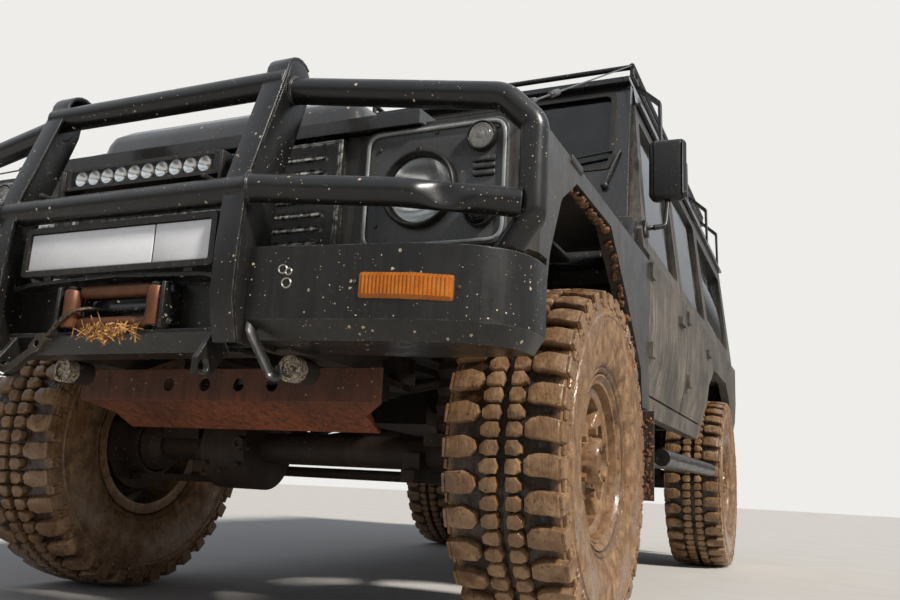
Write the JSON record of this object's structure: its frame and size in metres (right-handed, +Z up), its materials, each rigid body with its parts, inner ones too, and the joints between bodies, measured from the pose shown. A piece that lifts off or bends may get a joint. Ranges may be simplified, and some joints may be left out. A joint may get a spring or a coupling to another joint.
{
  "type": "off-road vehicle",
  "caption": "Lifted long-wheelbase off-road 4x4: boxy five-door body, tube bull bar, winch, roof rack, mud tyres; doors open, wheels roll, front wheels steer.",
  "frame": {"origin": "on the ground, midway between nose and tail and between the sides", "axes": "+X to the vehicle's own left, +Y to its tail (it faces -Y), +Z up"},
  "size_m": [1.916, 4.856, 2.237],
  "materials": {
    "body_paint": "satin black, dusty",
    "frame_paint": "black chassis paint under dried mud",
    "bar_paint": "worn matt black over rust",
    "cast": "muddy cast iron",
    "steel": "worn steel",
    "alloy": "mud-coated alloy",
    "tyre": "mud-coated",
    "rubber": "matt",
    "plastic": "textured black",
    "lamp": "clear lamp glass",
    "glass": "tinted",
    "mirror_shell": "black",
    "seat": "dark cloth",
    "rope": "grey synthetic",
    "rack": "black tube"
  },
  "bodies": {
    "body": {"chassis_frame": "frame_paint", "front_axle": "cast", "rear_axle": "cast", "suspension": "frame_paint", "drivetrain": "cast", "tank_and_exhaust": "steel", "wings": "body_paint", "grille": "plastic", "lamp_surrounds": "plastic", "headlamps": "lamp", "small_lamps": "lamp", "bulkhead": "body_paint", "body_sides": "body_paint", "floor": "frame_paint", "roof": "body_paint", "fixed_glass": "glass", "dashboard": "plastic", "seats": "seat", "bull_bar": "bar_paint", "front_bumper": "bar_paint", "winch_tray": "bar_paint", "winch": "steel", "fairlead": "steel", "winch_rope": "rope", "rope_hook": "steel", "steering_guard": "bar_paint", "light_bar": "plastic", "number_plate": "plastic", "side_steps": "bar_paint", "mud_flaps": "rubber", "roof_rack": "rack"},
    "bonnet": {"bonnet": "body_paint"},
    "steering_wheel": {"steering_wheel": "plastic"},
    "knuckle_left": {"knuckle_left": "cast"},
    "knuckle_right": {"knuckle_right": "cast"},
    "track_rod": {"track_rod": "steel"},
    "drag_link": {"drag_link": "steel"},
    "drop_arm": {"drop_arm": "cast"},
    "tail_door": {"tail_door": "body_paint", "tail_glass": "glass", "spare_rim": "alloy", "spare_tyre": "tyre"},
    "front_door_left": {"front_door_left": "body_paint", "front_glass_left": "glass", "mirror_left": "mirror_shell"},
    "rear_door_left": {"rear_door_left": "body_paint", "rear_glass_left": "glass"},
    "front_left_wheel": {"front_left_rim": "alloy", "front_left_tyre": "tyre"},
    "rear_left_wheel": {"rear_left_rim": "alloy", "rear_left_tyre": "tyre"},
    "front_door_right": {"front_door_right": "body_paint", "front_glass_right": "glass", "mirror_right": "mirror_shell"},
    "rear_door_right": {"rear_door_right": "body_paint", "rear_glass_right": "glass"},
    "front_right_wheel": {"front_right_rim": "alloy", "front_right_tyre": "tyre"},
    "rear_right_wheel": {"rear_right_rim": "alloy", "rear_right_tyre": "tyre"}
  },
  "joints": [
    {"name": "steer_left", "type": "hinge", "parent": "body", "child": "knuckle_left", "pos_m": [0.6, -1.533, 0.445], "axis": [0, 0, 1], "range_deg": [-28, 28]},
    {"name": "steer_right", "type": "hinge", "parent": "body", "child": "knuckle_right", "pos_m": [-0.6, -1.533, 0.445], "axis": [0, 0, 1], "range_deg": [-28, 28]},
    {"name": "track_rod_end", "type": "hinge", "parent": "knuckle_left", "child": "track_rod", "pos_m": [0.545, -1.333, 0.38], "axis": [0, 0, 1], "range_deg": [-28, 28]},
    {"name": "drag_link_end", "type": "hinge", "parent": "knuckle_right", "child": "drag_link", "pos_m": [-0.545, -1.733, 0.58], "axis": [0, 0, 1], "range_deg": [-28, 28]},
    {"name": "drop_arm_turn", "type": "hinge", "parent": "body", "child": "drop_arm", "pos_m": [0.29, -1.593, 0.62], "axis": [0, 0, 1], "range_deg": [-28, 28]},
    {"name": "steering_wheel_turn", "type": "hinge", "parent": "body", "child": "steering_wheel", "pos_m": [0.375, -0.523, 1.215], "axis": [0, 0.9135, 0.4067], "range_deg": [-614, 614]},
    {"name": "front_left_spin", "type": "hinge", "parent": "knuckle_left", "child": "front_left_wheel", "pos_m": [0.743, -1.533, 0.445], "axis": [1, 0, 0], "continuous": true},
    {"name": "front_right_spin", "type": "hinge", "parent": "knuckle_right", "child": "front_right_wheel", "pos_m": [-0.743, -1.533, 0.445], "axis": [1, 0, 0], "continuous": true},
    {"name": "rear_left_spin", "type": "hinge", "parent": "body", "child": "rear_left_wheel", "pos_m": [0.743, 1.261, 0.445], "axis": [1, 0, 0], "continuous": true},
    {"name": "rear_right_spin", "type": "hinge", "parent": "body", "child": "rear_right_wheel", "pos_m": [-0.743, 1.261, 0.445], "axis": [1, 0, 0], "continuous": true},
    {"name": "front_door_left_swing", "type": "hinge", "parent": "body", "child": "front_door_left", "pos_m": [0.853, -0.829, 1], "axis": [0, 0, -1], "range_deg": [0, 66]},
    {"name": "rear_door_left_swing", "type": "hinge", "parent": "body", "child": "rear_door_left", "pos_m": [0.853, 0.028, 1], "axis": [0, 0, -1], "range_deg": [0, 66]},
    {"name": "front_door_right_swing", "type": "hinge", "parent": "body", "child": "front_door_right", "pos_m": [-0.853, -0.829, 1], "axis": [0, 0, 1], "range_deg": [0, 66]},
    {"name": "rear_door_right_swing", "type": "hinge", "parent": "body", "child": "rear_door_right", "pos_m": [-0.853, 0.028, 1], "axis": [0, 0, 1], "range_deg": [0, 66]},
    {"name": "tail_door_swing", "type": "hinge", "parent": "body", "child": "tail_door", "pos_m": [-0.43, 2.1293, 1.3], "axis": [0, 0, 1], "range_deg": [0, 90]},
    {"name": "bonnet_lift", "type": "hinge", "parent": "body", "child": "bonnet", "pos_m": [0, -0.9763, 1.276], "axis": [-1, 0, 0], "range_deg": [0, 55]}
  ],
  "couplings": [
    {"joint": "steer_right", "follows": "steer_left", "ratio": 1},
    {"joint": "track_rod_end", "follows": "steer_left", "ratio": -1},
    {"joint": "drag_link_end", "follows": "steer_left", "ratio": -1},
    {"joint": "drop_arm_turn", "follows": "steer_left", "ratio": 1},
    {"joint": "steering_wheel_turn", "follows": "steer_left", "ratio": 21.9}
  ]
}
